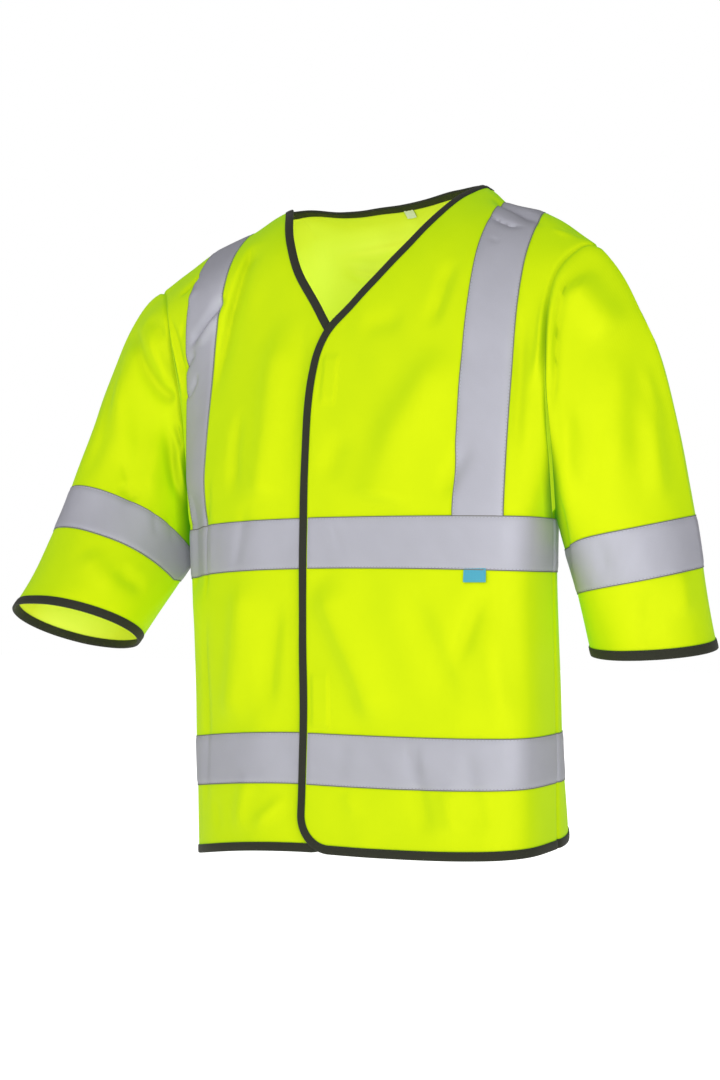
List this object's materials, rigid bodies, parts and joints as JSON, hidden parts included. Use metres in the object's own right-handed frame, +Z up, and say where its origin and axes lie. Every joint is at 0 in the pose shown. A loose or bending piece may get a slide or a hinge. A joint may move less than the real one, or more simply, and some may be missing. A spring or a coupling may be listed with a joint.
{
  "type": "safety vest",
  "caption": "High-visibility safety vest with elbow-length sleeves, overlapping front, dark bound edges and reflective tape, hollow and open at neck, hem and cuffs.",
  "frame": {"origin": "where the vest is held: midway between the shoulders, at the height of the shoulder seams beside the neck", "axes": "+Z up along the body, -Y out of the front, +X towards the wearer's left"},
  "size_m": [0.7232, 0.3082, 0.6985],
  "materials": {
    "fluorescent_cloth": "fluorescent yellow woven polyester, faint sheen",
    "reflective_tape": "silver grey retroreflective tape on cloth",
    "edge_binding": "dark olive black matt bias binding",
    "fastener_tape": "yellow hook and loop tape",
    "blue_label": "woven blue label, bare",
    "white_label": "woven white size label, bare"
  },
  "bodies": {
    "root": {"front_left": "fluorescent_cloth", "front_right": "fluorescent_cloth", "back": "fluorescent_cloth", "sleeve_left": "fluorescent_cloth", "sleeve_right": "fluorescent_cloth", "tape_chest_left": "reflective_tape", "tape_chest_right": "reflective_tape", "tape_chest_back": "reflective_tape", "tape_lower_left": "reflective_tape", "tape_lower_right": "reflective_tape", "tape_lower_back": "reflective_tape", "tape_shoulder_left": "reflective_tape", "tape_shoulder_right": "reflective_tape", "tape_sleeve_left": "reflective_tape", "tape_sleeve_right": "reflective_tape", "binding_front_left": "edge_binding", "binding_front_right": "edge_binding", "binding_hem_back": "edge_binding", "binding_neck": "edge_binding", "binding_cuff_left": "edge_binding", "binding_cuff_right": "edge_binding", "fastener_upper": "fastener_tape", "fastener_lower": "fastener_tape", "label_side": "blue_label", "label_size": "white_label"}
  },
  "joints": []
}
